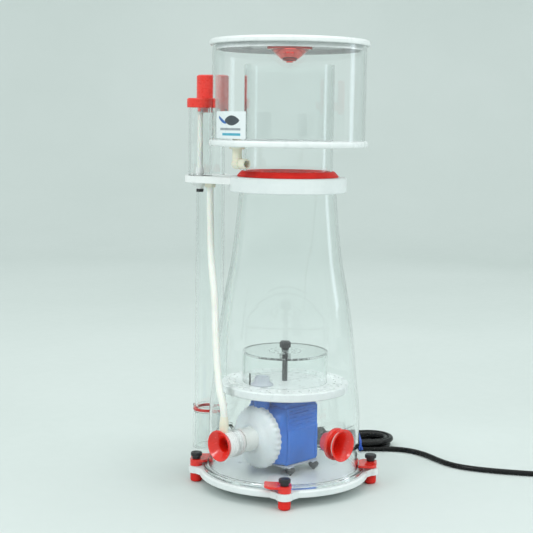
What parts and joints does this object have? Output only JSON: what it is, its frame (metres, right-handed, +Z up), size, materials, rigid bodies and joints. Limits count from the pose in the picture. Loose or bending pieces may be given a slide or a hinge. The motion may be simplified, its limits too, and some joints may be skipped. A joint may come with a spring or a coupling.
{
  "type": "protein skimmer",
  "caption": "Aquarium protein skimmer: clear cone body, lift-off collection cup, inner needle-wheel pump, clamped base, standpipe outlet.",
  "frame": {"origin": "on the floor under the feet, where the vertical axis of the body meets it", "axes": "+Z up along the body axis; -X the way the pump's intake bell faces; -Y the way the side bell faces"},
  "size_m": [0.4676, 0.4668, 0.5705],
  "materials": {
    "white_pvc": "satin machined PVC",
    "red_plastic": "glossy",
    "red_rubber": "smooth silicone",
    "red_translucent": "translucent red acrylic",
    "clear_acrylic": "polished clear acrylic",
    "black_nylon": "moulded black nylon",
    "label_film": "printed film",
    "ivory_plastic": "moulded ivory plastic",
    "hose_silicone": "translucent silicone",
    "pump_blue": "textured moulded plastic",
    "pump_grey": "moulded grey plastic",
    "pump_white": "moulded white plastic",
    "black_rubber": "matte rubber",
    "magnet_black": "coated magnet",
    "ceramic": "polished ceramic",
    "cord_black": "smooth cable sheath",
    "tie_blue": "plastic tie"
  },
  "bodies": {
    "base": {"base_plate": "white_pvc", "feet": "red_rubber", "base_gasket": "black_rubber", "body_shell": "clear_acrylic", "body_flange": "clear_acrylic", "collar": "white_pvc", "bracket_arm": "white_pvc", "standpipe": "clear_acrylic", "standpipe_socket": "clear_acrylic", "outlet_stub": "clear_acrylic", "socket_oring": "red_rubber", "silencer_chamber": "clear_acrylic", "silencer_tube": "hose_silicone", "silencer_base": "white_pvc", "air_hose": "hose_silicone", "hose_connector": "ivory_plastic", "motor_block": "pump_blue", "pump_foot": "pump_grey", "suction_cups": "black_rubber", "volute": "pump_white", "pump_shaft": "ceramic", "shaft_bushes": "black_rubber", "intake_stub": "clear_acrylic", "wall_ring": "white_pvc", "intake_bell": "red_plastic", "discharge_nozzle": "pump_grey", "side_bell": "red_plastic", "side_fitting": "pump_white", "bubble_plate": "white_pvc", "diffuser_cup": "clear_acrylic", "diffuser_rod": "black_nylon", "pump_lead": "cord_black", "cord_gland": "black_nylon", "cord_in": "cord_black", "cord_hank": "cord_black", "hank_tie": "tie_blue", "cord_out": "cord_black", "plug": "cord_black"},
    "seal": {"seal_ring": "red_rubber"},
    "cup": {"cup_wall": "clear_acrylic", "cup_plate": "white_pvc", "riser_tube": "clear_acrylic", "cup_label": "label_film"},
    "drain": {"drain_elbow": "ivory_plastic"},
    "lid": {"lid": "white_pvc", "lid_grip": "red_translucent"},
    "outlet_cap": {"outlet_cap": "red_plastic"},
    "silencer_cap": {"silencer_cap": "red_plastic"},
    "lock_ring": {"lock_ring": "pump_grey"},
    "rotor": {"needle_wheel": "pump_white", "rotor_magnet": "magnet_black"},
    "diffuser_knob": {"diffuser_knob": "black_nylon"},
    "clamp_left": {"clamp_left": "red_plastic"},
    "screw_left": {"screw_left": "black_nylon"},
    "clamp_front": {"clamp_front": "red_plastic"},
    "screw_front": {"screw_front": "black_nylon"},
    "clamp_right": {"clamp_right": "red_plastic"},
    "screw_right": {"screw_right": "black_nylon"},
    "clamp_back": {"clamp_back": "red_plastic"},
    "screw_back": {"screw_back": "black_nylon"}
  },
  "joints": [
    {"name": "clamp_left_swing", "type": "hinge", "parent": "base", "child": "clamp_left", "pos_m": [-0.08061, 0.08061, 0.024], "axis": [0, 0, 1], "range_deg": [0, 95]},
    {"name": "screw_left_turn", "type": "hinge", "parent": "base", "child": "screw_left", "pos_m": [-0.08061, 0.08061, 0.024], "axis": [0, 0, 1], "continuous": true},
    {"name": "clamp_front_swing", "type": "hinge", "parent": "base", "child": "clamp_front", "pos_m": [-0.08061, -0.08061, 0.024], "axis": [0, 0, 1], "range_deg": [0, 95]},
    {"name": "screw_front_turn", "type": "hinge", "parent": "base", "child": "screw_front", "pos_m": [-0.08061, -0.08061, 0.024], "axis": [0, 0, 1], "continuous": true},
    {"name": "clamp_right_swing", "type": "hinge", "parent": "base", "child": "clamp_right", "pos_m": [0.08061, -0.08061, 0.024], "axis": [0, 0, 1], "range_deg": [0, 95]},
    {"name": "screw_right_turn", "type": "hinge", "parent": "base", "child": "screw_right", "pos_m": [0.08061, -0.08061, 0.024], "axis": [0, 0, 1], "continuous": true},
    {"name": "clamp_back_swing", "type": "hinge", "parent": "base", "child": "clamp_back", "pos_m": [0.08061, 0.08061, 0.024], "axis": [0, 0, 1], "range_deg": [0, 95]},
    {"name": "screw_back_turn", "type": "hinge", "parent": "base", "child": "screw_back", "pos_m": [0.08061, 0.08061, 0.024], "axis": [0, 0, 1], "continuous": true},
    {"name": "cup_turn", "type": "hinge", "parent": "base", "child": "seal", "pos_m": [0, 0, 0.3995], "axis": [0, 0, 1], "continuous": true},
    {"name": "cup_lift", "type": "slide", "parent": "seal", "child": "cup", "axis": [0, 0, 1], "range_m": [0, 0.2]},
    {"name": "drain_swivel", "type": "hinge", "parent": "cup", "child": "drain", "pos_m": [-0.08, 0.01, 0.425], "axis": [0, 0, 1], "continuous": true},
    {"name": "lid_lift", "type": "slide", "parent": "cup", "child": "lid", "axis": [0, 0, 1], "range_m": [0, 0.12]},
    {"name": "outlet_cap_level", "type": "slide", "parent": "base", "child": "outlet_cap", "axis": [0, 0, 1], "range_m": [0, 0.02]},
    {"name": "silencer_cap_lift", "type": "slide", "parent": "base", "child": "silencer_cap", "axis": [0, 0, 1], "range_m": [0, 0.12]},
    {"name": "lock_ring_twist", "type": "hinge", "parent": "base", "child": "lock_ring", "pos_m": [-0.042, 0, 0.069], "axis": [1, 0, 0], "range_deg": [0, 6]},
    {"name": "needle_wheel_spin", "type": "hinge", "parent": "base", "child": "rotor", "pos_m": [-0.04, 0, 0.069], "axis": [1, 0, 0], "continuous": true},
    {"name": "diffuser_knob_turn", "type": "hinge", "parent": "base", "child": "diffuser_knob", "pos_m": [0, 0, 0.18], "axis": [0, 0, 1], "continuous": true}
  ]
}
